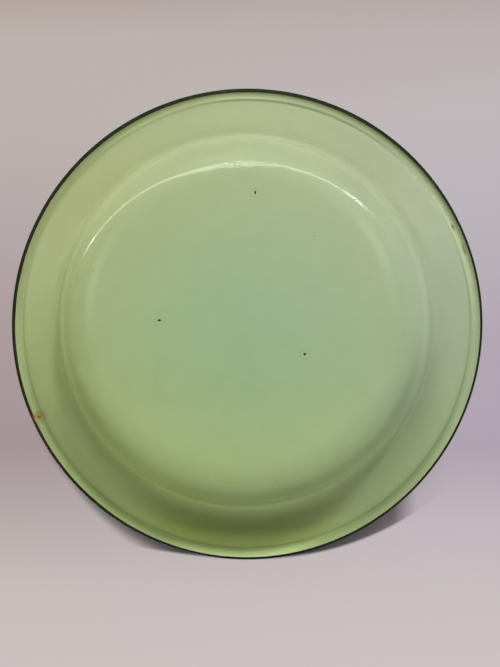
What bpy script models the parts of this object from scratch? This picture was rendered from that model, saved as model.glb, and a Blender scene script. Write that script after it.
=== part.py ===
"""Round enamelled dish, 300 mm across and 32 mm deep.

One sheet steel pressing carries a dark ground coat and a pale green cover
coat on each side, and a dark green enamel line closes the edge of the
turned-down lip. The dish stands on its flat base with its opening up. The
origin is under the middle of the base, on the surface that the dish
stands on. All lengths are in metres.
"""

import math

import bmesh
import bpy
from mathutils import Vector

# Overall form
RIM_RADIUS = 0.150
BASE_FLAT_RADIUS = 0.0842
BASE_EDGE_RADIUS = 0.0360
BASE_EDGE_TILT = math.radians(12.0)
SHOULDER_RADIUS = 0.0310
WALL_TILT = math.radians(60.0)
WALL_STRAIGHT = 0.0105
BRIM_ROOT_RADIUS = 0.0060
BRIM_TILT = math.radians(9.0)

# Turned-down lip: a short tight bend, then a wider one down to the edge
LIP_BEND_RADIUS = 0.0030
LIP_BEND_TILT = math.radians(-12.0)
LIP_RADIUS = 0.0062
LIP_END_TILT = math.radians(-70.0)

# Layers, from the middle of the sheet outwards
STEEL_THICKNESS = 0.00060
GROUND_THICKNESS = 0.00012
COVER_THICKNESS = 0.00018
LAYER_GAP = 0.00003

# How far the dark edge line reaches up the lip, outside and underneath
EDGE_LINE_OUTSIDE = 0.0024
EDGE_LINE_UNDER = 0.0010
EDGE_CAP_STEPS = 4

# Facets round the axis and along each bend
TURN_STEPS = 48
BASE_EDGE_STEPS = 1
SHOULDER_STEPS = 4
BRIM_ROOT_STEPS = 2
LIP_BEND_STEPS = 1
LIP_STEPS = 2

# Firing-pin marks in the underside: places on the base and size of each pit
PIN_MARKS = (
    ("firing_pin_pit_far", -0.0090, 0.0741),
    ("firing_pin_pit_side", 0.0473, -0.0009),
    ("firing_pin_pit_near", -0.0378, -0.0206),
)
PIT_MOUTH_RADIUS = 0.0010
PIT_FLOOR_RADIUS = 0.0006
PIT_OVERSHOOT = 0.0005
PIT_SIDES = 12

# Distances from the middle of the sheet to the faces of each layer
STEEL_FACE = STEEL_THICKNESS / 2
GROUND_INNER = STEEL_FACE + LAYER_GAP
GROUND_OUTER = GROUND_INNER + GROUND_THICKNESS
COVER_INNER = GROUND_OUTER + LAYER_GAP
COVER_OUTER = COVER_INNER + COVER_THICKNESS


def clear_scene():
    for old in list(bpy.data.objects):
        bpy.data.objects.remove(old, do_unlink=True)


def make_collection(name):
    collection = bpy.data.collections.new(name)
    bpy.context.scene.collection.children.link(collection)
    return collection


def make_material(name, colour, roughness, metallic):
    material = bpy.data.materials.new(name)
    material.use_nodes = True
    shader = material.node_tree.nodes["Principled BSDF"]
    shader.inputs["Base Color"].default_value = (*colour, 1.0)
    shader.inputs["Roughness"].default_value = roughness
    shader.inputs["Metallic"].default_value = metallic
    return material


class SheetPath:
    """Middle line of the sheet in the (radius, height) plane."""

    def __init__(self, height):
        self.points = [(Vector((0.0, height)), 0.0)]

    @property
    def end(self):
        return self.points[-1][0]

    @property
    def tilt(self):
        return self.points[-1][1]

    def straight(self, length):
        heading = Vector((math.cos(self.tilt), math.sin(self.tilt)))
        self.points.append((self.end + heading * length, self.tilt))

    def bend(self, radius, end_tilt, steps):
        start, first = self.end, self.tilt
        turn = radius if end_tilt > first else -radius
        for i in range(1, steps + 1):
            tilt = first + (end_tilt - first) * i / steps
            along = turn * (math.sin(tilt) - math.sin(first))
            rise = turn * (math.cos(first) - math.cos(tilt))
            self.points.append((start + Vector((along, rise)), tilt))

    def at(self, index, distance):
        """Point beside a path point, on the inner side for a plus distance."""
        point, tilt = self.points[index]
        return point + Vector((-math.sin(tilt), math.cos(tilt))) * distance

    def past(self, index, distance, step):
        """Point a short step further along the layer at that distance."""
        here, following = self.at(index, distance), self.at(index + 1, distance)
        return here + (following - here).normalized() * step


def cap_offsets():
    """Points of the rounded edge line, from its outside to its underside."""
    offsets = []
    for i in range(EDGE_CAP_STEPS + 1):
        angle = LIP_END_TILT + math.pi / 2 - math.pi * i / EDGE_CAP_STEPS
        offsets.append(Vector((math.cos(angle), math.sin(angle))) * COVER_OUTER)
    return offsets


def lip_width():
    """Radial width of both lip bends and of the edge line round the edge."""
    tight = LIP_BEND_RADIUS * (math.sin(BRIM_TILT) - math.sin(LIP_BEND_TILT))
    wide = LIP_RADIUS * (math.sin(LIP_BEND_TILT) - math.sin(LIP_END_TILT))
    edge = LAYER_GAP * math.cos(LIP_END_TILT) + max(o.x for o in cap_offsets())
    return tight + wide + edge


def make_sheet_path():
    """Whole section, with the two points where the cover coats stop."""
    path = SheetPath(COVER_OUTER)
    path.straight(BASE_FLAT_RADIUS)
    path.bend(BASE_EDGE_RADIUS, BASE_EDGE_TILT, BASE_EDGE_STEPS)
    path.bend(SHOULDER_RADIUS, WALL_TILT, SHOULDER_STEPS)
    path.straight(WALL_STRAIGHT)
    path.bend(BRIM_ROOT_RADIUS, BRIM_TILT, BRIM_ROOT_STEPS)
    brim_width = RIM_RADIUS - lip_width() - path.end.x
    path.straight(brim_width / math.cos(BRIM_TILT))
    path.bend(LIP_BEND_RADIUS, LIP_BEND_TILT, LIP_BEND_STEPS)
    outside_stop = LIP_END_TILT + EDGE_LINE_OUTSIDE / LIP_RADIUS
    under_stop = LIP_END_TILT + EDGE_LINE_UNDER / LIP_RADIUS
    path.bend(LIP_RADIUS, outside_stop, LIP_STEPS)
    outside_index = len(path.points) - 1
    path.bend(LIP_RADIUS, under_stop, 1)
    under_index = len(path.points) - 1
    path.bend(LIP_RADIUS, LIP_END_TILT, 1)
    return path, outside_index, under_index


def layer_profile(path, upper, lower, last):
    """Closed layer: out along its upper face and back along its lower one."""
    out = [path.at(i, upper) for i in range(last + 1)]
    back = [path.at(i, lower) for i in range(last, -1, -1)]
    return out + back


def edge_profile(path, outside_index, under_index):
    """U-shaped band round the edge of the steel and its ground coats."""
    last = len(path.points) - 1
    heading = Vector((math.cos(path.tilt), math.sin(path.tilt)))
    centre = path.end + heading * LAYER_GAP
    outer = [path.past(outside_index, COVER_OUTER, LAYER_GAP)]
    outer += [path.at(i, COVER_OUTER) for i in range(outside_index + 1, last)]
    outer += [centre + offset for offset in cap_offsets()]
    outer.append(path.past(under_index, -COVER_OUTER, LAYER_GAP))
    inner = [path.past(under_index, -COVER_INNER, LAYER_GAP)]
    inner.append(path.at(last, -COVER_INNER) + heading * LAYER_GAP)
    inner.append(path.at(last, COVER_INNER) + heading * LAYER_GAP)
    inner += [path.at(i, COVER_INNER) for i in range(last - 1, outside_index, -1)]
    inner.append(path.past(outside_index, COVER_INNER, LAYER_GAP))
    return outer + inner


def turned_object(name, profile, closed, material, collection):
    """Profile at +X, turned round Z with a Screw modifier."""
    mesh = bpy.data.meshes.new(name)
    shape = bmesh.new()
    verts = [shape.verts.new((max(p.x, 0.0), 0.0, p.y)) for p in profile]
    pairs = list(zip(verts, verts[1:]))
    if closed:
        pairs.append((verts[-1], verts[0]))
    for first, second in pairs:
        shape.edges.new((first, second))
    shape.to_mesh(mesh)
    shape.free()
    obj = bpy.data.objects.new(name, mesh)
    collection.objects.link(obj)
    obj.data.materials.append(material)
    screw = obj.modifiers.new("Turn", "SCREW")
    screw.axis = "Z"
    screw.angle = 2 * math.pi
    screw.steps = TURN_STEPS
    screw.render_steps = TURN_STEPS
    screw.use_merge_vertices = True
    screw.merge_threshold = 0.000001
    screw.use_smooth_shade = True
    return obj


def add_pit(target, name, x, y, cutters):
    """Cone that opens the underside cover coat down to the ground coat."""
    height = COVER_THICKNESS + 2 * PIT_OVERSHOOT
    slope = (PIT_MOUTH_RADIUS - PIT_FLOOR_RADIUS) / COVER_THICKNESS
    mesh = bpy.data.meshes.new(name)
    cone = bmesh.new()
    bmesh.ops.create_cone(
        cone,
        cap_ends=True,
        segments=PIT_SIDES,
        radius1=PIT_MOUTH_RADIUS + slope * PIT_OVERSHOOT / 4,
        radius2=PIT_FLOOR_RADIUS,
        depth=height,
    )
    cone.to_mesh(mesh)
    cone.free()
    cutter = bpy.data.objects.new(name, mesh)
    cutters.objects.link(cutter)
    cutter.location = (x, y, COVER_THICKNESS / 2)
    cutter.hide_render = True
    cutter.display_type = "WIRE"
    cut = target.modifiers.new(name, "BOOLEAN")
    cut.operation = "DIFFERENCE"
    cut.solver = "EXACT"
    cut.object = cutter


def build():
    clear_scene()
    dish = make_collection("round_enamelled_dish")
    cutters = make_collection("cutters")
    steel = make_material("sheet_steel", (0.33, 0.32, 0.31), 0.45, 1.0)
    ground = make_material("ground_coat_enamel", (0.020, 0.023, 0.024), 0.30, 0.0)
    green_under = make_material("pale_green_enamel_under", (0.34, 0.44, 0.24), 0.16, 0.0)
    green_inside = make_material("pale_green_enamel_inside", (0.35, 0.45, 0.25), 0.14, 0.0)
    edge_green = make_material("dark_green_edge_enamel", (0.010, 0.016, 0.008), 0.20, 0.0)

    path, outside_index, under_index = make_sheet_path()
    last = len(path.points) - 1

    sheet = layer_profile(path, STEEL_FACE, -STEEL_FACE, last)
    turned_object("pressed_steel_sheet", sheet, False, steel, dish)

    lower_ground = layer_profile(path, -GROUND_INNER, -GROUND_OUTER, last)
    turned_object("ground_coat_underside", lower_ground, False, ground, dish)

    upper_ground = layer_profile(path, GROUND_OUTER, GROUND_INNER, last)
    turned_object("ground_coat_inside", upper_ground, False, ground, dish)

    lower_cover = layer_profile(path, -COVER_INNER, -COVER_OUTER, under_index)
    underside = turned_object("green_enamel_underside", lower_cover, False, green_under, dish)
    for name, x, y in PIN_MARKS:
        add_pit(underside, name, x, y, cutters)

    upper_cover = layer_profile(path, COVER_OUTER, COVER_INNER, outside_index)
    turned_object("green_enamel_inside", upper_cover, False, green_inside, dish)

    edge = edge_profile(path, outside_index, under_index)
    turned_object("dark_enamel_edge", edge, True, edge_green, dish)


build()
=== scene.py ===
"""Looks of the round enamelled dish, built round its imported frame.

The dish stands on its base with its opening up, and the camera looks at its
underside. Every coat is a fine surface of revolution with the section of
the frame. All lengths are in metres.
"""

import math

import bmesh
import bpy
from mathutils import Matrix, Vector, noise


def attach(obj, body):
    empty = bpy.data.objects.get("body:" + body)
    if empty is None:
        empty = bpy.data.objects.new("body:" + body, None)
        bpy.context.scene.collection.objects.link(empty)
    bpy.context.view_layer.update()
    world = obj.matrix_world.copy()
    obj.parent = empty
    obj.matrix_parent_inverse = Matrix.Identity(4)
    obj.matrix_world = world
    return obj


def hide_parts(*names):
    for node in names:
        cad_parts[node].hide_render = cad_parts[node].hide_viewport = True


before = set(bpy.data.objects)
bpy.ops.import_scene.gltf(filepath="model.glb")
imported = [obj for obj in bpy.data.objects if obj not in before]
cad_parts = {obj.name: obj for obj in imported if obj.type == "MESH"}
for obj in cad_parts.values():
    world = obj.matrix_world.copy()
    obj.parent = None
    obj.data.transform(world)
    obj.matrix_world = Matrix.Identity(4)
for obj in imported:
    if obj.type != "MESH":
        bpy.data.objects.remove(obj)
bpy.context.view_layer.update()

# Section of the pressing: middle line of the sheet
RIM_RADIUS = 0.150
BASE_FLAT_RADIUS = 0.0842
BASE_EDGE_RADIUS = 0.0360
BASE_EDGE_TILT = math.radians(12.0)
SHOULDER_RADIUS = 0.0310
WALL_TILT = math.radians(60.0)
WALL_STRAIGHT = 0.0105
BRIM_ROOT_RADIUS = 0.0060
BRIM_TILT = math.radians(9.0)
LIP_BEND_RADIUS = 0.0030
LIP_BEND_TILT = math.radians(-12.0)
LIP_RADIUS = 0.0062
LIP_END_TILT = math.radians(-70.0)

# Distances from the middle of the sheet to the faces of each layer
STEEL_FACE = 0.00030
GROUND_INNER = 0.00033
GROUND_OUTER = 0.00045
COVER_INNER = 0.00048
COVER_OUTER = 0.00066

# Dark edge line: film over the green coat, with a hand-brushed boundary
EDGE_FILM_UNDER = 0.00001
EDGE_FILM_OUTER = 0.00005
EDGE_LINE_OUTSIDE = 0.0024
EDGE_LINE_UNDER = 0.0010
EDGE_CAP_STEPS = 8
EDGE_SIDE_STEPS = 6
EDGE_LEAST_THICK = 0.20
EDGE_BITE_ANGLE = 0.010
EDGE_THICK_WAY = Vector((0.35, 0.94, 0.0))
EDGE_THIN_WAY = Vector((-0.76, -0.65, 0.0))

# Mesh density
SEGMENTS = 240
BASE_RINGS = 34
BASE_EDGE_STEPS = 6
SHOULDER_STEPS = 18
WALL_STEPS = 5
BRIM_ROOT_STEPS = 8
BRIM_STEPS = 12
LIP_BEND_STEPS = 4
LIP_STEPS = 14

# Marks of the firing pins under the base: place, ring, half sizes of the pit
PIN_MARKS = (
    (-0.0090, 0.0741, 0.0021, 0.00055, 0.00105),
    (0.0473, -0.0009, 0.0020, 0.00100, 0.00065),
    (-0.0378, -0.0206, 0.0020, 0.00085, 0.00075),
)
PIT_DEPTH = 0.00015
RING_HEIGHT = 0.00012
RING_WIDTH = 0.00055

# Chip in the enamel of the lip, down to rusty steel
CHIP_ANGLE = math.radians(-25.0)
CHIP_RADIUS = 0.1462
CHIP_ALONG = 0.0017
CHIP_ACROSS = 0.0030
CHIP_DEPTH = 0.00013
CHIP_HEIGHT = 0.0300

# Narrow groove where the brim turns into the lip
CREASE_RADIUS = 0.1440
CREASE_WIDTH = 0.0010
CREASE_DEPTH = 0.00005

# Slow waves of the fired enamel surface
WAVE_HEIGHT = 0.000045
WAVE_LENGTH = 0.034


class SheetPath:
    """Middle line of the sheet in the (radius, height) plane."""

    def __init__(self, height):
        self.points = [(Vector((0.0, height)), 0.0)]

    @property
    def end(self):
        return self.points[-1][0]

    @property
    def tilt(self):
        return self.points[-1][1]

    def straight(self, length, steps):
        heading = Vector((math.cos(self.tilt), math.sin(self.tilt)))
        start = self.end
        for i in range(1, steps + 1):
            self.points.append((start + heading * length * i / steps, self.tilt))

    def bend(self, radius, end_tilt, steps):
        start, first = self.end, self.tilt
        for i in range(1, steps + 1):
            tilt = first + (end_tilt - first) * i / steps
            self.points.append((bend_point(start, first, radius, tilt), tilt))


def bend_point(start, first, radius, tilt):
    """Point at a tilt on the arc that leaves start at the tilt first."""
    turn = radius if tilt >= first else -radius
    along = turn * (math.sin(tilt) - math.sin(first))
    rise = turn * (math.cos(first) - math.cos(tilt))
    return start + Vector((along, rise))


def beside(point_and_tilt, distance):
    """Place beside a path point, on the inner side for a plus distance."""
    point, tilt = point_and_tilt
    return point + Vector((-math.sin(tilt), math.cos(tilt))) * distance


def cap_offsets(radius):
    """Points of the rounded edge, from its outside to its underside."""
    offsets = []
    for i in range(EDGE_CAP_STEPS + 1):
        angle = LIP_END_TILT + math.pi / 2 - math.pi * i / EDGE_CAP_STEPS
        offsets.append(Vector((math.cos(angle), math.sin(angle))) * radius)
    return offsets


def lip_width():
    """Radial width of both lip bends and of the edge round the steel."""
    tight = LIP_BEND_RADIUS * (math.sin(BRIM_TILT) - math.sin(LIP_BEND_TILT))
    wide = LIP_RADIUS * (math.sin(LIP_BEND_TILT) - math.sin(LIP_END_TILT))
    return tight + wide + max(o.x for o in cap_offsets(COVER_OUTER))


def make_path(fine, end_tilt):
    """Section from the axis to a tilt of the lip, fine on the straights too."""
    path = SheetPath(COVER_OUTER)
    path.straight(BASE_FLAT_RADIUS, BASE_RINGS if fine else 1)
    path.bend(BASE_EDGE_RADIUS, BASE_EDGE_TILT, BASE_EDGE_STEPS)
    path.bend(SHOULDER_RADIUS, WALL_TILT, SHOULDER_STEPS)
    path.straight(WALL_STRAIGHT, WALL_STEPS if fine else 1)
    path.bend(BRIM_ROOT_RADIUS, BRIM_TILT, BRIM_ROOT_STEPS)
    brim = (RIM_RADIUS - lip_width() - path.end.x) / math.cos(BRIM_TILT)
    path.straight(brim, BRIM_STEPS if fine else 1)
    path.bend(LIP_BEND_RADIUS, LIP_BEND_TILT, LIP_BEND_STEPS)
    path.lip_start = path.end
    path.bend(LIP_RADIUS, end_tilt, LIP_STEPS)
    return path


def layer_profile(visible_path, hidden_path, visible, hidden):
    """Closed layer: out along its seen face and back along its hidden one."""
    out = [beside(p, visible) for p in visible_path.points]
    back = [beside(p, hidden) for p in reversed(hidden_path.points)]
    return out + back


def turned_mesh(profile_at, closed):
    """Mesh of revolution about Z; profile_at gives the section at an angle."""
    shape = bmesh.new()
    rings = []
    for i in range(SEGMENTS):
        angle = 2 * math.pi * i / SEGMENTS
        cos, sin = math.cos(angle), math.sin(angle)
        rings.append([(p.x * cos, p.x * sin, p.y) for p in profile_at(angle)])
    count = len(rings[0])
    columns = []
    for j in range(count):
        x, y, z = rings[0][j]
        if math.hypot(x, y) < 1e-7:
            columns.append([shape.verts.new((0.0, 0.0, z))] * SEGMENTS)
        else:
            columns.append([shape.verts.new(ring[j]) for ring in rings])
    pairs = [(j, j + 1) for j in range(count - 1)]
    if closed:
        pairs.append((count - 1, 0))
    for j, k in pairs:
        for i in range(SEGMENTS):
            n = (i + 1) % SEGMENTS
            corners = []
            for vert in (columns[j][i], columns[j][n], columns[k][n], columns[k][i]):
                if vert not in corners:
                    corners.append(vert)
            if len(corners) > 2:
                shape.faces.new(corners)
    bmesh.ops.recalc_face_normals(shape, faces=shape.faces)
    return shape


def smoothstep(low, high, value):
    t = min(1.0, max(0.0, (value - low) / (high - low)))
    return t * t * (3 - 2 * t)


def refine(shape, centre, reach, limit):
    """Halves the long edges round a place until none is over the limit."""
    longest = limit * 8
    while longest > limit:
        longest /= 2
        edges = []
        for edge in shape.edges:
            middle = (edge.verts[0].co + edge.verts[1].co) / 2
            near = (middle - centre).length < reach
            if near and edge.calc_length() > longest:
                edges.append(edge)
        if edges:
            bmesh.ops.subdivide_edges(shape, edges=edges, cuts=1, use_grid_fill=True)
            rough = [f for f in shape.faces if len(f.verts) > 4]
            bmesh.ops.triangulate(shape, faces=rough)
    shape.normal_update()


def wave(position):
    """Slow thickness change of the enamel, fading out towards the lip."""
    radius = Vector((position.x, position.y)).length
    fade = 1.0 - smoothstep(0.140, 0.146, radius)
    crease = math.exp(-(((radius - CREASE_RADIUS) / (CREASE_WIDTH * 0.6)) ** 2))
    slow = fade * WAVE_HEIGHT * noise.noise(position / WAVE_LENGTH)
    return slow - crease * CREASE_DEPTH


def pin_shape(x, y, ring, wide, tall):
    """Height of a pin mark: a low ring with a dip and a pit inside it."""
    distance = math.hypot(x, y)
    bank = math.exp(-(((distance - ring) / RING_WIDTH) ** 2)) * RING_HEIGHT
    dip = (1.0 - smoothstep(ring * 0.5, ring, distance)) * RING_HEIGHT * 0.35
    pit = (1.0 - smoothstep(0.5, 1.0, math.hypot(x / wide, y / tall))) * PIT_DEPTH
    return bank - dip - pit


def chip_depth(position):
    """How far the chip is broken in at a place, from 0 to 1."""
    centre = Vector((math.cos(CHIP_ANGLE), math.sin(CHIP_ANGLE), 0.0)) * CHIP_RADIUS
    outward = centre.normalized()
    aside = Vector((-outward.y, outward.x, 0.0))
    offset = position - centre
    across, along = offset.dot(outward) / CHIP_ACROSS, offset.dot(aside) / CHIP_ALONG
    jitter = noise.noise(position / 0.0016) * 0.35
    return 1.0 - smoothstep(0.75, 1.0, math.hypot(across, along) + jitter)


def add_object(name, shape, material):
    mesh = bpy.data.meshes.new(name)
    shape.to_mesh(mesh)
    shape.free()
    mesh.polygons.foreach_set("use_smooth", [True] * len(mesh.polygons))
    obj = bpy.data.objects.new(name, mesh)
    bpy.context.scene.collection.objects.link(obj)
    obj.data.materials.append(material)
    return obj


class Nodes:
    """Short way to write a node material."""

    def __init__(self, name):
        self.material = bpy.data.materials.new(name)
        self.material.use_nodes = True
        self.tree = self.material.node_tree
        self.tree.nodes.clear()
        self.output = self.new("ShaderNodeOutputMaterial")
        self.coords = self.new("ShaderNodeTexCoord").outputs["Object"]

    def new(self, kind, **settings):
        node = self.tree.nodes.new(kind)
        for key, value in settings.items():
            setattr(node, key, value)
        return node

    def feed(self, node, key, value):
        if isinstance(value, bpy.types.NodeSocket):
            self.tree.links.new(value, node.inputs[key])
        else:
            node.inputs[key].default_value = value

    def maths(self, operation, first, second=0.0, third=0.0, clamp=False):
        node = self.new("ShaderNodeMath", operation=operation, use_clamp=clamp)
        for key, value in enumerate((first, second, third)):
            self.feed(node, key, value)
        return node.outputs[0]

    def times(self, first, second):
        return self.maths("MULTIPLY", first, second)

    def noise(self, scale, detail=2.0, roughness=0.5, distortion=0.0, shift=None):
        node = self.new("ShaderNodeTexNoise")
        place = self.coords
        if shift:
            place = self.offset(shift)
        self.feed(node, "Vector", place)
        self.feed(node, "Scale", scale)
        self.feed(node, "Detail", detail)
        self.feed(node, "Roughness", roughness)
        self.feed(node, "Distortion", distortion)
        return node.outputs["Fac"]

    def offset(self, amount):
        node = self.new("ShaderNodeVectorMath", operation="ADD")
        self.feed(node, 0, self.coords)
        self.feed(node, 1, amount)
        return node.outputs[0]

    def radius(self):
        node = self.new("ShaderNodeVectorMath", operation="MULTIPLY")
        self.feed(node, 0, self.coords)
        self.feed(node, 1, (1.0, 1.0, 0.0))
        length = self.new("ShaderNodeVectorMath", operation="LENGTH")
        self.feed(length, 0, node.outputs[0])
        return length.outputs["Value"]

    def axis(self, name):
        node = self.new("ShaderNodeSeparateXYZ")
        self.feed(node, 0, self.coords)
        return node.outputs[name]

    def blend(self, share, first, second):
        node = self.new("ShaderNodeMix", data_type="RGBA")
        self.feed(node, 0, share)
        self.feed(node, 6, first if not isinstance(first, tuple) else (*first, 1.0))
        self.feed(node, 7, second if not isinstance(second, tuple) else (*second, 1.0))
        return node.outputs[2]

    def product(self, colour, factors):
        node = self.new("ShaderNodeVectorMath", operation="MULTIPLY")
        self.feed(node, 0, colour)
        self.feed(node, 1, factors)
        return node.outputs[0]

    def tone(self, colour, value, saturation=1.0):
        node = self.new("ShaderNodeHueSaturation")
        self.feed(node, "Color", colour)
        self.feed(node, "Value", value)
        self.feed(node, "Saturation", saturation)
        return node.outputs[0]

    def steps(self, value, stops):
        """Colour ramp through (place, colour) stops."""
        node = self.new("ShaderNodeValToRGB")
        ramp = node.color_ramp
        ramp.elements[0].position, ramp.elements[1].position = stops[0][0], stops[-1][0]
        ramp.elements[0].color = (*stops[0][1], 1.0)
        ramp.elements[1].color = (*stops[-1][1], 1.0)
        for place, colour in stops[1:-1]:
            ramp.elements.new(place).color = (*colour, 1.0)
        self.feed(node, "Fac", value)
        return node.outputs["Color"]

    def band(self, value, low, high, from_value=0.0, to_value=1.0):
        """Smooth change from one number to another between low and high."""
        node = self.new("ShaderNodeMapRange", interpolation_type="SMOOTHSTEP")
        for key, amount in enumerate((value, low, high, from_value, to_value)):
            self.feed(node, key, amount)
        return node.outputs[0]

    def hump(self, value, low, rise, fall, high):
        """1 between rise and fall, and 0 below low and above high."""
        return self.times(self.band(value, low, rise), self.band(value, fall, high, 1.0, 0.0))

    def spot(self, place, angle, size, inner, outer, ragged=0.0, grain=600.0):
        """Mask of an elliptical patch: 1 inside inner, 0 outside outer."""
        node = self.new("ShaderNodeMapping", vector_type="TEXTURE")
        self.feed(node, "Vector", self.coords)
        self.feed(node, "Location", place)
        self.feed(node, "Rotation", (0.0, 0.0, angle))
        self.feed(node, "Scale", size)
        length = self.new("ShaderNodeVectorMath", operation="LENGTH")
        self.feed(length, 0, node.outputs[0])
        distance = length.outputs["Value"]
        if ragged:
            wobble = self.maths("MULTIPLY_ADD", self.noise(grain), ragged, -ragged / 2)
            distance = self.maths("ADD", distance, wobble)
        return self.band(distance, inner, outer, 1.0, 0.0)

    def bump(self, height, distance, strength, below=None):
        node = self.new("ShaderNodeBump")
        self.feed(node, "Strength", strength)
        self.feed(node, "Distance", distance)
        self.feed(node, "Height", height)
        if below:
            self.feed(node, "Normal", below)
        return node.outputs["Normal"]

    def principled(self, colour, roughness, normal=None, metallic=0.0, ior=1.5):
        node = self.new("ShaderNodeBsdfPrincipled")
        self.feed(node, "Base Color", colour)
        self.feed(node, "Roughness", roughness)
        self.feed(node, "Metallic", metallic)
        self.feed(node, "IOR", ior)
        if normal:
            self.feed(node, "Normal", normal)
        self.tree.links.new(node.outputs[0], self.output.inputs["Surface"])
        return self.material


def on_lip(angle, radius, height):
    return (radius * math.cos(angle), radius * math.sin(angle), height)


def enamel_base(mat, middle, near_middle):
    """Green of the cover coat by radius, with its cloudy unevenness."""
    share = mat.maths("DIVIDE", mat.radius(), RIM_RADIUS)
    cloud = mat.maths("MULTIPLY_ADD", mat.noise(26.0, 3.0), 0.16, -0.08)
    share = mat.maths("ADD", share, cloud)
    colour = mat.steps(
        share,
        (
            (0.00, middle),
            (0.22, near_middle),
            (0.52, (0.384, 0.480, 0.232)),
            (0.68, (0.392, 0.482, 0.228)),
            (0.76, (0.440, 0.520, 0.248)),
            (0.84, (0.405, 0.478, 0.228)),
            (1.00, (0.405, 0.480, 0.236)),
        ),
    )
    mottle = mat.maths("MULTIPLY_ADD", mat.noise(95.0, 4.0, 0.6), 0.10, 0.95)
    fine = mat.maths("MULTIPLY_ADD", mat.noise(900.0, 2.0), 0.07, 0.965)
    return mat.tone(colour, mat.times(mottle, fine))


# Share of the cells of the speck pattern that stay empty, and the specks' depth
SPECK_GAPS = 0.86
SPECK_DEPTH = 0.55


def add_specks(mat, colour, scale, size, dark):
    """Sparse tiny specks fired into the coat."""
    cells = mat.new("ShaderNodeTexVoronoi", feature="F1")
    mat.feed(cells, "Vector", mat.coords)
    mat.feed(cells, "Scale", scale)
    near = mat.band(cells.outputs["Distance"], size * 0.5, size, 1.0, 0.0)
    pick = mat.new("ShaderNodeSeparateColor")
    mat.feed(pick, 0, cells.outputs["Color"])
    chosen = mat.maths("GREATER_THAN", pick.outputs[0], SPECK_GAPS)
    share = mat.times(near, chosen)
    return mat.blend(mat.times(share, SPECK_DEPTH), colour, dark)


def enamel_gloss(mat):
    """Roughness of the fired coat, cloudy."""
    return mat.maths("MULTIPLY_ADD", mat.noise(60.0, 3.0), 0.06, 0.10)


def enamel_normal(mat):
    """Fine orange peel over slower dimples."""
    peel = mat.bump(mat.noise(330.0, 2.0, 0.5), 0.00005, 0.55)
    return mat.bump(mat.noise(70.0, 2.0, 0.5), 0.00016, 0.45, peel)


# Bend from the wall into the brim, where the gloss is duller and painted shade darkens the colour
# a little
ROOT_BAND = (0.1150, 0.1185, 0.1215, 0.1250)

# Pebbled place on the shoulder
PEBBLE_PLACE = (-0.004, 0.0925, 0.001)
PEBBLE_SIZE = (0.030, 0.008, 0.008)

# Small marks on the underside: angle, radius, height, half sizes, depth, colour
MARK_REACH = 0.006
OCHRE = (0.250, 0.215, 0.045)
SPECK = (0.060, 0.070, 0.030)
SMALL_MARKS = (
    (155.9, 0.1462, 0.0300, 0.0010, 0.0026, 0.75, OCHRE),
    (162.0, 0.1470, 0.0295, 0.0008, 0.0052, 0.65, OCHRE),
    (172.0, 0.1474, 0.0290, 0.0006, 0.0030, 0.35, OCHRE),
    (-103.0, 0.0971, 0.0025, 0.0018, 0.0013, 0.35, (0.30, 0.34, 0.07)),
    (-40.0, 0.1470, 0.0295, 0.0008, 0.0040, 0.35, OCHRE),
    (17.8, 0.0921, 0.0015, 0.0006, 0.0007, 0.60, SPECK),
    (131.9, 0.0648, 0.0000, 0.0007, 0.0006, 0.40, SPECK),
    (162.7, 0.0791, 0.0000, 0.0006, 0.0006, 0.40, SPECK),
)


def mark_pins(mat, colour):
    """Pale bank, faint shade and dark pit of each firing-pin mark."""
    for x, y, ring, wide, tall in PIN_MARKS:
        place = (x, y, 0.0)
        shade = mat.spot(place, 0.0, (ring, ring, ring), 1.2, 1.9, 0.3, 700.0)
        colour = mat.blend(mat.times(shade, 0.12), colour, (0.20, 0.26, 0.12))
        bank = mat.spot(place, 0.0, (ring, ring, ring), 0.6, 1.15, 0.3, 900.0)
        colour = mat.blend(mat.times(bank, 0.32), colour, (0.55, 0.62, 0.42))
        size = (wide * 1.25, tall * 1.25, wide * 3)
        pit = mat.spot(place, 0.0, size, 0.55, 1.15, 0.35, 1400.0)
        colour = mat.blend(pit, colour, (0.022, 0.034, 0.014))
    return colour


# Painted light and shade of the underside by radius: over the lower, upper and side parts, and at
# the foot
LOWER_PAINTED_SHADING = (
    (0.0950, 1.00), (0.1050, 0.95), (0.1100, 0.88), (0.1160, 1.02), (0.1220, 0.70),
    (0.1285, 0.76), (0.1340, 0.83), (0.1400, 0.89), (0.1430, 0.85), (0.1445, 0.72),
    (0.1456, 0.78), (0.1468, 0.90), (0.1485, 1.00),
)
FOOT_PAINTED_SHADING = (
    (0.0980, 0.99), (0.1064, 0.78), (0.1100, 0.71), (0.1130, 0.88), (0.1165, 1.15),
    (0.1199, 0.90), (0.1225, 0.74), (0.1255, 0.53), (0.1290, 0.50), (0.1340, 0.63),
    (0.1390, 0.98), (0.1440, 1.18), (0.1485, 1.25),
)
UPPER_PAINTED_SHADING = (
    (0.0950, 1.00), (0.1018, 0.90), (0.1100, 0.86), (0.1217, 0.88), (0.1272, 0.93),
    (0.1400, 0.92), (0.1432, 1.02), (0.1456, 1.00), (0.1466, 0.84), (0.1475, 0.58),
    (0.1485, 0.42),
)
SIDE_PAINTED_SHADING = (
    (0.0950, 1.00), (0.1040, 1.12), (0.1120, 1.20), (0.1180, 1.05), (0.1225, 0.95),
    (0.1300, 0.98), (0.1485, 1.00),
)
# Tints of painted coloured light: cool from one side and above, warm from the other side and below
COOL_LIGHT_TINT = (0.95, 1.00, 1.60)
WARM_LIGHT_TINT = (1.00, 1.00, 0.62)
# Olive of painted shade over the lower brim
SHADE_OLIVE_TINT = (1.00, 1.00, 0.55)
TONE_LIMIT = 2.0


def tone_by_radius(mat, tones):
    stops = tuple((radius / RIM_RADIUS, (tone / TONE_LIMIT,) * 3) for radius, tone in tones)
    share = mat.maths("DIVIDE", mat.radius(), RIM_RADIUS)
    return mat.times(mat.steps(share, stops), TONE_LIMIT)


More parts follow.
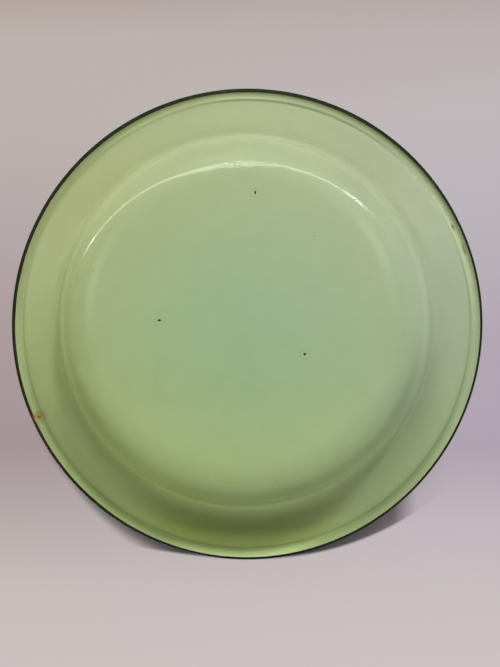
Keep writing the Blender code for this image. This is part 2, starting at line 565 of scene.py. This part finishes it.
def mix_numbers(mat, share, first, second):
    change = mat.maths("SUBTRACT", second, first)
    return mat.maths("MULTIPLY_ADD", share, change, first)


def painted_light_tint(mat, colour):
    """Painted tint of coloured light: cooler towards -X and the upper half, warmer towards +X and
    the lower half.
    """
    share = mat.maths("MULTIPLY_ADD", mat.axis("X"), -1.25, 0.5)
    upper = mat.band(mat.axis("Y"), -0.14, 0.02, -0.27, 0.03)
    share = mat.maths("ADD", share, upper, clamp=True)
    return mat.blend(share, mat.product(colour, WARM_LIGHT_TINT), mat.product(colour, COOL_LIGHT_TINT))


def lip_painted_light(mat, up, aside, down):
    """Painted light on the lip, how much paler it is: over most of the upper half, and at the
    foot.
    """
    start = mat.band(mat.radius(), 0.1438, 0.1456)
    end = mat.band(mat.radius(), 0.1468, 0.1484, 1.0, 0.15)
    upper = mat.maths("MULTIPLY_ADD", aside, -0.42, mat.times(up, 0.91))
    upper = mat.times(mat.band(upper, 0.25, 0.95, 0.0, 0.90), end)
    foot = mat.band(down, 0.930, 0.998, 0.0, 0.55)
    foot = mat.times(foot, mat.band(mat.radius(), 0.1448, 0.1468))
    return mat.maths("MULTIPLY_ADD", upper, start, foot)


def underside_painted_shading(mat, colour):
    """Painted light and shade on the underside: cooler to one side, darker over the lower brim."""
    colour = painted_light_tint(mat, colour)
    radius, y = mat.radius(), mat.axis("Y")
    up, aside = mat.maths("DIVIDE", y, radius), mat.maths("DIVIDE", mat.axis("X"), radius)
    down = mat.times(up, -1.0)

    # Painted light and shade by radius, for the sides, the upper part, the lower part and the foot
    tone = tone_by_radius(mat, SIDE_PAINTED_SHADING)
    high = mat.maths("MULTIPLY_ADD", aside, -0.26, mat.times(up, 0.966))
    high = mat.band(high, 0.35, 1.0)
    tone = mix_numbers(mat, high, tone, tone_by_radius(mat, UPPER_PAINTED_SHADING))
    low = mat.band(down, 0.05, 0.55)
    tone = mix_numbers(mat, low, tone, tone_by_radius(mat, LOWER_PAINTED_SHADING))
    # Painted shade over one lower corner of the brim
    corner_shade = mat.times(low, mat.band(aside, 0.45, 0.95))
    corner_shade = mat.times(corner_shade, mat.band(radius, 0.130, 0.140, 0.0, -0.2))
    tone = mat.maths("MULTIPLY_ADD", tone, corner_shade, tone)
    foot = mat.band(down, 0.80, 0.99)
    tone = mix_numbers(mat, foot, tone, tone_by_radius(mat, FOOT_PAINTED_SHADING))
    lip_light = lip_painted_light(mat, up, aside, down)
    tone = mat.times(tone, mat.maths("ADD", lip_light, 1.0))

    # Painted shade: the lower brim turns a yellower olive
    shade_olive = mat.hump(radius, 0.1215, 0.1260, 0.1442, 0.1458)
    shade_olive = mat.times(mat.times(foot, 0.6), shade_olive)
    colour = mat.blend(shade_olive, colour, mat.product(colour, SHADE_OLIVE_TINT))
    factors = mat.new("ShaderNodeCombineXYZ")
    # Painted light: a little more red over the upper half, less over the lower
    mat.feed(factors, "X", mat.times(tone, mat.band(y, -0.10, 0.10, 0.96, 1.07)))
    mat.feed(factors, "Y", tone)
    mat.feed(factors, "Z", tone)
    return mat.product(colour, factors.outputs[0])


def crease_shade(mat):
    """Line of shade in the crease, uneven along it and faint over the upper half."""
    low, high = CREASE_RADIUS - CREASE_WIDTH * 1.3, CREASE_RADIUS + CREASE_WIDTH
    line = mat.hump(mat.radius(), low, CREASE_RADIUS, CREASE_RADIUS, high)
    strength = mat.maths("MULTIPLY_ADD", mat.noise(30.0, 3.0), 0.5, 0.10)
    strength = mat.times(strength, mat.band(mat.axis("Y"), 0.0, 0.10, 1.0, 0.1))
    return mat.times(line, strength)


def add_small_marks(mat, colour):
    for angle, radius, height, across, along, depth, paint in SMALL_MARKS:
        turn = math.radians(angle)
        size = (across, along, MARK_REACH)
        mark = mat.spot(on_lip(turn, radius, height), turn, size, 0.3, 1.1, 0.8, 520.0)
        colour = mat.blend(mat.times(mark, depth), colour, paint)
    return colour


def chip_masks(mat):
    """The broken place, and the stained enamel round it."""
    place = on_lip(CHIP_ANGLE, CHIP_RADIUS, CHIP_HEIGHT)
    halo_size = (CHIP_ACROSS * 1.7, CHIP_ALONG * 2.8, 0.010)
    halo = mat.spot(place, CHIP_ANGLE, halo_size, 0.25, 1.25, 0.9, 330.0)
    chip_size = (CHIP_ACROSS, CHIP_ALONG, 0.008)
    chip = mat.spot(place, CHIP_ANGLE, chip_size, 0.62, 1.00, 1.1, 560.0)
    return chip, halo


def rust(mat):
    return mat.steps(
        mat.noise(900.0, 4.0, 0.7),
        (
            (0.32, (0.070, 0.034, 0.012)),
            (0.45, (0.250, 0.150, 0.030)),
            (0.55, (0.450, 0.320, 0.070)),
            (0.68, (0.620, 0.520, 0.210)),
        ),
    )


def outside_enamel():
    mat = Nodes("green_enamel_underside")
    colour = enamel_base(mat, (0.342, 0.480, 0.248), (0.354, 0.484, 0.246))
    colour = underside_painted_shading(mat, colour)
    colour = add_specks(mat, colour, 110.0, 0.030, (0.10, 0.10, 0.05))
    colour = mark_pins(mat, colour)
    colour = mat.blend(crease_shade(mat), colour, (0.16, 0.20, 0.07))
    colour = add_small_marks(mat, colour)
    chip, halo = chip_masks(mat)
    colour = mat.blend(mat.times(halo, 0.60), colour, (0.23, 0.20, 0.040))
    colour = mat.blend(chip, colour, rust(mat))
    root = mat.hump(mat.radius(), *ROOT_BAND)
    # Painted shade darkens the bend from wall to brim a little
    colour = mat.blend(mat.times(root, 0.10), colour, (0.20, 0.24, 0.09))

    roughness = mat.maths("ADD", enamel_gloss(mat), mat.times(root, 0.30))
    roughness = mat.maths("ADD", roughness, mat.times(halo, 0.20))
    roughness = mat.maths("ADD", roughness, mat.times(chip, 0.45), clamp=True)
    crust = mat.times(chip, mat.noise(1500.0, 3.0, 0.6))
    normal = mat.bump(crust, 0.00025, 0.8, enamel_normal(mat))
    pebbled = mat.spot(PEBBLE_PLACE, 0.0, PEBBLE_SIZE, 0.3, 1.0)
    pebbles = mat.times(pebbled, mat.noise(380.0, 3.0, 0.55))
    normal = mat.bump(pebbles, 0.00050, 0.7, normal)
    return mat.principled(colour, roughness, normal)


def inside_enamel():
    mat = Nodes("green_enamel_inside")
    colour = enamel_base(mat, (0.378, 0.482, 0.244), (0.382, 0.482, 0.242))
    colour = add_specks(mat, colour, 140.0, 0.026, (0.13, 0.13, 0.07))
    wear = mat.band(mat.noise(42.0, 5.0, 0.65, 0.4, (0.3, 0.1, 0.0)), 0.52, 0.78)
    floor = mat.band(mat.axis("Z"), 0.002, 0.008, 1.0, 0.25)
    wear = mat.times(wear, floor)
    colour = mat.blend(mat.times(wear, 0.20), colour, (0.30, 0.33, 0.17))
    roughness = mat.maths("ADD", enamel_gloss(mat), mat.times(wear, 0.22))
    return mat.principled(colour, roughness, enamel_normal(mat))


def edge_enamel():
    mat = Nodes("dark_green_edge_enamel")
    colour = mat.steps(
        mat.noise(160.0, 4.0, 0.6),
        (
            (0.30, (0.006, 0.010, 0.005)),
            (0.60, (0.012, 0.020, 0.009)),
            (0.80, (0.030, 0.042, 0.018)),
        ),
    )
    chip_place = on_lip(CHIP_ANGLE, CHIP_RADIUS + 0.0030, 0.0285)
    tint = mat.spot(chip_place, CHIP_ANGLE, (0.0040, 0.0034, 0.006), 0.3, 1.0, 0.6, 700.0)
    colour = mat.blend(mat.times(tint, 0.75), colour, (0.085, 0.030, 0.018))
    roughness = mat.maths("MULTIPLY_ADD", mat.noise(120.0, 3.0), 0.16, 0.14)
    normal = mat.bump(mat.noise(500.0, 2.0), 0.00006, 0.5)
    return mat.principled(colour, roughness, normal)


def ground_coat(name):
    mat = Nodes(name)
    colour = mat.steps(
        mat.noise(700.0, 3.0, 0.6),
        (
            (0.35, (0.012, 0.014, 0.015)),
            (0.60, (0.022, 0.025, 0.027)),
            (0.80, (0.050, 0.054, 0.056)),
        ),
    )
    roughness = mat.maths("MULTIPLY_ADD", mat.noise(200.0, 2.0), 0.20, 0.25)
    return mat.principled(colour, roughness, mat.bump(mat.noise(900.0), 0.00005, 0.5))


def sheet_steel():
    mat = Nodes("sheet_steel")
    colour = mat.steps(
        mat.noise(260.0, 5.0, 0.65),
        ((0.30, (0.22, 0.21, 0.20)), (0.55, (0.34, 0.33, 0.32)), (0.80, (0.42, 0.40, 0.38))),
    )
    roughness = mat.maths("MULTIPLY_ADD", mat.noise(420.0, 3.0), 0.25, 0.35)
    normal = mat.bump(mat.noise(1200.0, 3.0), 0.00004, 0.6)
    return mat.principled(colour, roughness, normal, metallic=1.0)


def coat(side, visible, hidden, end_tilt):
    """Cover coat with waves on its seen face; side is +1 inside, -1 outside."""
    fine, coarse = make_path(True, end_tilt), make_path(False, end_tilt)
    profile = layer_profile(fine, coarse, visible * side, hidden * side)
    shape = turned_mesh(lambda angle: profile, False)
    seen = len(fine.points)
    shape.verts.ensure_lookup_table()
    for vert in shape.verts:
        if vert.index < 1 + (seen - 1) * SEGMENTS:
            vert.co.z -= wave(vert.co * side) * side
    shape.normal_update()
    return shape


def add_marks(shape):
    """Pin marks and the chip, pressed into the seen face of the outside coat."""
    base_top = (COVER_OUTER - COVER_INNER) * 0.6
    for x, y, ring, wide, tall in PIN_MARKS:
        refine(shape, Vector((x, y, 0.0)), ring * 2.6, 0.00022)
        for vert in shape.verts:
            aside, along = vert.co.x - x, vert.co.y - y
            near = math.hypot(aside, along) < ring * 2.2
            if near and vert.co.z < base_top and vert.normal.z < 0:
                vert.co.z -= pin_shape(aside, along, ring, wide, tall)
    centre = Vector(on_lip(CHIP_ANGLE, CHIP_RADIUS, CHIP_HEIGHT))
    refine(shape, centre, CHIP_ACROSS * 1.6, 0.00035)
    moves = []
    for vert in shape.verts:
        if (vert.co - centre).length < CHIP_ACROSS * 2.0 and vert.normal.z < 0.3:
            depth = chip_depth(vert.co)
            if depth > 0.0:
                moves.append((vert, vert.co - vert.normal * CHIP_DEPTH * depth))
    for vert, place in moves:
        vert.co = place


def plain_layer(inner, outer):
    path = make_path(False, LIP_END_TILT)
    profile = layer_profile(path, path, inner, outer)
    return turned_mesh(lambda angle: profile, False)


def edge_line_tilts(angle):
    """Where the dark line stops on the underside and the outside of the lip."""
    way = Vector((math.cos(angle), math.sin(angle), 0.0))
    drawn = 1.0 + 0.22 * noise.noise(way * 2.3) + 0.10 * noise.noise(way * 11.0)
    thick = 0.95 + 0.50 * max(0.0, way.dot(EDGE_THICK_WAY))
    thick -= 1.25 * max(0.0, way.dot(EDGE_THIN_WAY))
    thick = max(EDGE_LEAST_THICK, thick)
    gap = (angle - CHIP_ANGLE + math.pi) % (2 * math.pi) - math.pi
    bite = 1.0 - 0.75 * math.exp(-((gap / EDGE_BITE_ANGLE) ** 2))
    under = LIP_END_TILT + EDGE_LINE_UNDER * drawn * thick * bite / LIP_RADIUS
    return under, LIP_END_TILT + EDGE_LINE_OUTSIDE * drawn / LIP_RADIUS


def edge_band():
    """Dark film round the edge, wider and narrower as a hand draws it."""
    path = make_path(False, LIP_END_TILT)
    start = path.lip_start
    last = path.points[-1]

    def lip(tilt, distance):
        point = bend_point(start, LIP_BEND_TILT, LIP_RADIUS, tilt)
        return beside((point, tilt), distance)

    def profile_at(angle):
        under, outside = edge_line_tilts(angle)
        far, near = COVER_OUTER + EDGE_FILM_OUTER, COVER_OUTER + EDGE_FILM_UNDER
        shares = [i / EDGE_SIDE_STEPS for i in range(1, EDGE_SIDE_STEPS)]
        to_end = [outside + (LIP_END_TILT - outside) * share for share in shares]
        to_under = [LIP_END_TILT + (under - LIP_END_TILT) * share for share in shares]
        out = [lip(outside, near)] + [lip(tilt, far) for tilt in to_end]
        out += [last[0] + offset for offset in cap_offsets(far)]
        out += [lip(tilt, -far) for tilt in to_under] + [lip(under, -near)]
        back = [lip(tilt, -near) for tilt in reversed(to_under)]
        back += [last[0] + offset for offset in reversed(cap_offsets(near))]
        back += [lip(tilt, near) for tilt in reversed(to_end)]
        return out + back

    return turned_mesh(profile_at, True)


def dish_pieces():
    """(name, mesh, material, CAD node, material slot) of every piece."""
    under_stop = LIP_END_TILT + EDGE_LINE_UNDER * 0.1 / LIP_RADIUS
    outside_stop = LIP_END_TILT + EDGE_LINE_OUTSIDE * 0.4 / LIP_RADIUS
    outside = coat(-1, COVER_OUTER, COVER_INNER, under_stop)
    add_marks(outside)
    inside = coat(1, COVER_OUTER, COVER_INNER, outside_stop)
    return (
        ("enamel_outside", outside, outside_enamel(), "green_enamel_underside",
         "green_enamel_under"),
        ("enamel_inside", inside, inside_enamel(), "green_enamel_inside",
         "green_enamel_inside"),
        ("edge_line", edge_band(), edge_enamel(), "dark_enamel_edge", "dark_edge_enamel"),
        ("ground_outside", plain_layer(-GROUND_INNER, -GROUND_OUTER),
         ground_coat("ground_coat_outside"), "ground_coat_underside", "ground_coat"),
        ("ground_inside", plain_layer(GROUND_OUTER, GROUND_INNER),
         ground_coat("ground_coat_inside"), "ground_coat_inside", "ground_coat"),
        ("steel_sheet", plain_layer(STEEL_FACE, -STEEL_FACE), sheet_steel(),
         "pressed_steel_sheet", "sheet_steel"),
    )


# Camera: straight at the underside, a little from one side and from below
CAMERA_LENS = 28.066
CAMERA_PLACE = Vector((-0.0195, -0.0168, -0.30265))
CAMERA_BACK = Vector((-0.0444, -0.0270, -0.9986))


def add_camera():
    data = bpy.data.cameras.new("camera")
    data.lens = CAMERA_LENS
    data.clip_start = 0.01
    camera = bpy.data.objects.new("camera", data)
    bpy.context.scene.collection.objects.link(camera)
    back = CAMERA_BACK.normalized()
    right = Vector((-1.0, 0.0, 0.0))
    right = (right - back * right.dot(back)).normalized()
    up = back.cross(right)
    turn = Matrix((right, up, back)).transposed().to_4x4()
    camera.matrix_world = Matrix.Translation(CAMERA_PLACE) @ turn
    bpy.context.scene.camera = camera


def aim(place, target):
    turn = (Vector(place) - Vector(target)).to_track_quat("Z", "Y").to_matrix()
    return Matrix.Translation(place) @ turn.to_4x4()


def area_light(name, place, target, size, power, colour, glossy=True):
    data = bpy.data.lights.new(name, "AREA")
    data.shape = "SQUARE"
    data.size = size
    data.energy = power
    data.color = colour
    light = bpy.data.objects.new(name, data)
    bpy.context.scene.collection.objects.link(light)
    light.matrix_world = aim(place, target)
    light.visible_camera = False
    light.visible_glossy = glossy
    return light


def stage_flags(obj, camera, light):
    """What sees a stage piece: the camera, and the light that it gives."""
    obj.visible_camera = camera
    obj.visible_diffuse = light
    obj.visible_glossy = light
    obj.visible_transmission = False
    obj.visible_volume_scatter = False
    obj.visible_shadow = False


def sheet_mesh(name, corners, material):
    mesh = bpy.data.meshes.new(name)
    mesh.from_pydata(corners, [], [tuple(range(len(corners)))])
    obj = bpy.data.objects.new(name, mesh)
    bpy.context.scene.collection.objects.link(obj)
    obj.data.materials.append(material)
    return obj


def one_sided(mat, shader):
    """Shows a shader on the front of a sheet and nothing on its back."""
    clear = mat.new("ShaderNodeBsdfTransparent")
    choice = mat.new("ShaderNodeMixShader")
    side = mat.new("ShaderNodeNewGeometry").outputs["Backfacing"]
    mat.feed(choice, 0, side)
    mat.tree.links.new(shader.outputs[0], choice.inputs[1])
    mat.tree.links.new(clear.outputs[0], choice.inputs[2])
    mat.tree.links.new(choice.outputs[0], mat.output.inputs["Surface"])
    return mat.material


def glow(mat, colour, strength):
    shader = mat.new("ShaderNodeEmission")
    mat.feed(shader, "Color", colour)
    mat.feed(shader, "Strength", strength)
    return shader


# Backdrop close behind the rim: wall above, table below
BACKDROP_Z = 0.040
BACKDROP_HALF = 0.6
BACKDROP_SPAN = 0.46
FLOOR_Z = -0.0006
FLOOR_HALF = 7.0
TABLE_HALF = 0.7
TABLE_NEAR = -0.9
TABLE_FAR = -0.002
ROOM_RADIUS = 6.0
ROOM_BOTTOM = -0.5


def srgb(red, green, blue):
    """Linear colour of a display colour."""
    return tuple(
        c / 12.92 if c <= 0.04045 else ((c + 0.055) / 1.055) ** 2.4
        for c in (red / 255, green / 255, blue / 255)
    )


# Soft shadow that the dish throws on the wall where it meets the table
SHADE_CENTRE = (0.0007, 0.0006)
SHADE_INNER = 0.1550
SHADE_FOOT = -0.1546
SHADE_CURVE = 1.82
SHADE_SKEW = -6.9
SHADE_HALF = 0.16


def contact_shade(mat):
    """Darkness of the shadow: over the table's edge and near the dish."""
    x, y = mat.axis("X"), mat.axis("Y")
    bow = mat.maths("MULTIPLY_ADD", x, SHADE_SKEW, SHADE_CURVE)
    foot = mat.maths("MULTIPLY_ADD", mat.times(x, x), bow, SHADE_FOOT)
    above = mat.band(mat.maths("SUBTRACT", y, foot), -0.0012, 0.0012)
    aside = mat.maths("MULTIPLY_ADD", x, 0.5 / SHADE_HALF, 0.5)
    level = mat.steps(
        aside,
        tuple(
            (place, (value,) * 3)
            for place, value in (
                (0.08, 0.00), (0.15, 0.12), (0.195, 0.80), (0.25, 0.88), (0.37, 0.94),
                (0.63, 0.94), (0.69, 0.88), (0.735, 0.80), (0.775, 0.72), (0.82, 0.60),
                (0.86, 0.36), (0.93, 0.10), (1.00, 0.00),
            )
        ),
    )
    dx = mat.maths("SUBTRACT", x, SHADE_CENTRE[0])
    dy = mat.maths("SUBTRACT", y, SHADE_CENTRE[1])
    squares = mat.maths("MULTIPLY_ADD", dx, dx, mat.times(dy, dy))
    radius = mat.maths("SQRT", squares)
    reach = mat.maths("MULTIPLY_ADD", x, -0.17, SHADE_INNER + 0.024)
    reach = mat.maths("MAXIMUM", reach, SHADE_INNER + 0.004)
    near = mat.band(radius, SHADE_INNER, reach, 1.0, 0.0)
    shade = mat.times(above, mat.times(level, near))
    low = mat.band(y, -0.085, -0.055, 1.0, 0.0)
    return mat.times(shade, low)


# Glowing backdrop with painted light and shade: a gradient up and across the wall and table, and
# the painted shadow of the dish
def backdrop_material():
    mat = Nodes("pale_wall_and_table")
    height = mat.maths("MULTIPLY_ADD", mat.axis("Y"), 1 / BACKDROP_SPAN, 0.5)
    left = mat.steps(
        height,
        (
            (0.00, srgb(202, 194, 191)),
            (0.12, srgb(197, 189, 186)),
            (0.22, srgb(180, 171, 169)),
            (0.32, srgb(166, 149, 150)),
            (0.48, srgb(172, 155, 156)),
            (0.66, srgb(181, 171, 170)),
            (0.80, srgb(188, 179, 174)),
            (0.92, srgb(189, 179, 174)),
            (1.00, srgb(178, 162, 154)),
        ),
    )
    right = mat.steps(
        height,
        (
            (0.00, srgb(205, 197, 195)),
            (0.12, srgb(200, 192, 192)),
            (0.22, srgb(194, 184, 191)),
            (0.32, srgb(176, 164, 176)),
            (0.48, srgb(178, 168, 178)),
            (0.66, srgb(188, 181, 187)),
            (0.80, srgb(192, 184, 186)),
            (0.92, srgb(186, 178, 176)),
            (1.00, srgb(178, 165, 164)),
        ),
    )
    side = mat.band(mat.axis("X"), -SHADE_HALF, SHADE_HALF)
    colour = mat.blend(side, right, left)
    colour = mat.blend(contact_shade(mat), colour, srgb(46, 38, 34))
    grain = mat.maths("MULTIPLY_ADD", mat.noise(300.0, 3.0), 0.03, 0.985)
    colour = mat.tone(colour, grain)
    return one_sided(mat, glow(mat, colour, 1.0))


def floor_material():
    mat = Nodes("pale_floor")
    tone = mat.maths("MULTIPLY_ADD", mat.noise(6.0, 3.0), 0.03, 0.985)
    shader = mat.new("ShaderNodeBsdfDiffuse")
    mat.feed(shader, "Color", mat.tone((0.80, 0.785, 0.765, 1.0), tone))
    # Painted light: far off, the floor glows evenly instead of being lit by the lamps
    far = mat.new("ShaderNodeMixShader")
    mat.feed(far, 0, mat.band(mat.radius(), 0.5, 3.2))
    mat.tree.links.new(shader.outputs[0], far.inputs[1])
    far_glow = glow(mat, mat.tone((0.64, 0.628, 0.612, 1.0), tone), 1.0)
    mat.tree.links.new(far_glow.outputs[0], far.inputs[2])
    return one_sided(mat, far)


def plain_glow(name, colour, strength):
    mat = Nodes(name)
    shader = glow(mat, (*colour, 1.0), strength)
    mat.tree.links.new(shader.outputs[0], mat.output.inputs["Surface"])
    return mat.material


def towards(side, lift, distance):
    """Place seen from the dish at an angle aside and above, below its base."""
    x = -math.sin(side) * math.cos(lift)
    return Vector((x, math.sin(lift), -math.cos(side) * math.cos(lift))) * distance


# Long bright strip above, mirrored in the shoulder as a curved highlight.
# Turns go round the shoulder in degrees. The highlight lies where the shoulder
# leans least at the top of the curve, and leans more to both sides.
STRIP_DISTANCE = 0.05
STRIP_STRENGTH = 7.5
SHOULDER_RING = 0.094
SHOULDER_HEIGHT = 0.004
STRIP_START = 12
STRIP_STOP = 167
STRIP_TOP = 97.9
STRIP_LEAN = 7.7
STRIP_LEAN_BEFORE = 0.43
STRIP_LEAN_AFTER = 0.565
STRIP_HALF = 2.4
# Where the strip is broad: turn, reach and added half height
STRIP_BROAD = (92.0, 13.0, 6.0)
STRIP_LEVEL = 0.63
STRIP_TAIL = 0.22
# Bright places of the strip: turn, reach and added brightness
STRIP_SPOTS = ((46.0, 3.0, 3.7), (152.4, 2.5, 2.5))

# Soft patches of light seen only in the gloss: aside, up, half width, brightness
PATCHES = ((-42.0, 12.0, 15.0, 1.7), (34.0, 22.0, 16.0, 1.6))
PATCH_SIDES = 24


def emitter(name, shape):
    """Light seen only in reflections, as bright as its points' level."""
    mat = Nodes(name)
    share = mat.new("ShaderNodeAttribute", attribute_name="level").outputs["Fac"]
    shader = glow(mat, (1.0, 0.99, 0.97, 1.0), share)
    mat.tree.links.new(shader.outputs[0], mat.output.inputs["Surface"])
    obj = add_object(name, shape, mat.material)
    stage_flags(obj, False, False)
    obj.visible_glossy = True


def swell(turn, middle, reach, amount):
    return amount * math.exp(-(((turn - middle) / reach) ** 2))


def strip_level(turn):
    """Brightness: faint tails, an even stretch and two bright places."""
    tail = smoothstep(8.0, 24.0, turn) * (1.0 - smoothstep(158.0, 172.0, turn))
    even = smoothstep(37.0, 42.0, turn) * (1.0 - smoothstep(155.0, 160.0, turn))
    spots = sum(swell(turn, *spot) for spot in STRIP_SPOTS)
    return STRIP_TAIL * tail + STRIP_LEVEL * even + spots


def strip_foot_and_way(turn):
    """Place on the shoulder, and the way in which it mirrors the camera."""
    angle = math.radians(180.0 - turn)
    foot = Vector(on_lip(angle, SHOULDER_RING, SHOULDER_HEIGHT))
    rate = STRIP_LEAN_BEFORE if turn < STRIP_TOP else STRIP_LEAN_AFTER
    lean = math.radians(math.hypot(STRIP_LEAN, rate * (turn - STRIP_TOP)))
    out = math.sin(lean)
    normal = Vector((math.cos(angle) * out, math.sin(angle) * out, -math.cos(lean)))
    view = (CAMERA_PLACE - foot).normalized()
    return foot, 2.0 * normal.dot(view) * normal - view


def add_strip():
    shape = bmesh.new()
    level = shape.verts.layers.float.new("level")
    rows = []
    for turn in range(STRIP_START, STRIP_STOP + 1):
        foot, way = strip_foot_and_way(turn)
        side, lift = math.atan2(-way.x, -way.z), math.asin(way.y)
        half = math.radians(STRIP_HALF + swell(turn, *STRIP_BROAD))
        row = []
        for angle in (lift - half, lift + half):
            row.append(shape.verts.new(foot + towards(side, angle, STRIP_DISTANCE)))
            row[-1][level] = strip_level(turn) * STRIP_STRENGTH
        rows.append(row)
    for (a, b), (c, d) in zip(rows, rows[1:]):
        shape.faces.new((a, b, d, c))
    emitter("strip_light", shape)


def add_patches():
    for i, (side, lift, half, share) in enumerate(PATCHES):
        shape = bmesh.new()
        level = shape.verts.layers.float.new("level")
        middle = shape.verts.new(towards(math.radians(side), math.radians(lift), 1.0))
        middle[level] = share
        ring = []
        for k in range(PATCH_SIDES):
            turn = 2 * math.pi * k / PATCH_SIDES
            aside = math.radians(side + half * math.cos(turn))
            up = math.radians(lift + half * math.sin(turn))
            ring.append(shape.verts.new(towards(aside, up, 1.0)))
            ring[-1][level] = 0.0
        for a, b in zip(ring, ring[1:] + ring[:1]):
            shape.faces.new((middle, a, b))
        emitter(f"soft_patch_{i + 1}", shape)


def square(half, height):
    """Corners of a level square that faces up."""
    return [(x * half, y * half, height) for x, y in ((-1, -1), (1, -1), (1, 1), (-1, 1))]


def table_light():
    """Light that the table gives back to the underside of the dish."""
    edge = -RIM_RADIUS - 0.0005
    corners = [
        (-TABLE_HALF, edge, TABLE_NEAR), (TABLE_HALF, edge, TABLE_NEAR),
        (TABLE_HALF, edge, TABLE_FAR), (-TABLE_HALF, edge, TABLE_FAR),
    ]
    return sheet_mesh("table_bounce", corners, plain_glow("table_bounce", (1.0, 0.98, 0.78), 0.55))


def room():
    """Pale shell far round the dish."""
    shell = bmesh.new()
    bmesh.ops.create_icosphere(shell, subdivisions=4, radius=ROOM_RADIUS)
    below = [v for v in shell.verts if v.co.z < ROOM_BOTTOM]
    bmesh.ops.delete(shell, geom=below, context="VERTS")
    mat = Nodes("pale_room")
    lift = mat.band(mat.axis("Z"), -0.2, 4.0)
    colour = mat.blend(lift, (0.66, 0.645, 0.63), (0.50, 0.49, 0.48))
    mat.tree.links.new(glow(mat, colour, 1.0).outputs[0], mat.output.inputs["Surface"])
    return add_object("room", shell, mat.material)


def add_stage():
    facing_down = square(BACKDROP_HALF, BACKDROP_Z)[::-1]
    stage_flags(sheet_mesh("backdrop", facing_down, backdrop_material()), True, False)
    facing_up = square(FLOOR_HALF, FLOOR_Z)
    stage_flags(sheet_mesh("floor", facing_up, floor_material()), True, False)
    stage_flags(table_light(), False, True)
    stage_flags(room(), True, False)


# Lights in front of the underside: name, angle aside, angle up, distance,
# size, power and colour
LOWER_LIGHTS = (
    ("key", 29.2, 55.0, 0.95, 0.12, 5.1, (1.0, 0.99, 0.97)),
    ("over", 0.0, 72.5, 1.2, 0.7, 3.6, (1.0, 1.0, 1.20)),
    ("over_left", -30.0, 62.0, 1.1, 0.3, 3.4, (1.0, 0.99, 0.95)),
    ("left", -60.0, 30.0, 1.1, 0.5, 0.7, (1.0, 1.0, 0.9)),
    ("right", 60.0, 30.0, 1.1, 0.5, 0.6, (0.88, 0.95, 1.9)),
    ("low_left", -60.0, -30.0, 1.1, 0.5, 2.7, (1.0, 1.0, 0.78)),
    ("low_right", 60.0, -30.0, 1.1, 0.5, 2.6, (0.93, 0.98, 1.30)),
)


# Lights over the dish: name, place, size, power and colour
STUDIO_LIGHTS = (
    ("studio_high", (0.5, -0.6, 1.5), 1.2, 16.0, (1.0, 0.99, 0.97)),
    ("studio_back", (-0.9, 0.8, 1.2), 0.9, 8.0, (0.97, 0.985, 1.0)),
)
SKY_COLOUR = (0.99, 0.99, 0.97, 1.0)
SKY_STRENGTH = 0.085


def add_lights():
    centre = Vector((0.0, 0.0, 0.01))
    for name, side, lift, distance, size, power, colour in LOWER_LIGHTS:
        place = towards(math.radians(side), math.radians(lift), distance)
        area_light(name, place, centre, size, power, colour, glossy=False)
    add_strip()
    add_patches()
    for name, place, size, power, colour in STUDIO_LIGHTS:
        area_light(name, place, centre, size, power, colour)
    world = bpy.data.worlds.new("pale_room")
    world.use_nodes = True
    sky = world.node_tree.nodes["Background"]
    sky.inputs["Color"].default_value = SKY_COLOUR
    sky.inputs["Strength"].default_value = SKY_STRENGTH
    bpy.context.scene.world = world


add_camera()
for name, shape, material, node, slot in dish_pieces():
    piece = add_object(name, shape, material)
    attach(piece, "root")
    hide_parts(node)
add_stage()
add_lights()
bpy.context.scene.view_settings.view_transform = "Standard"
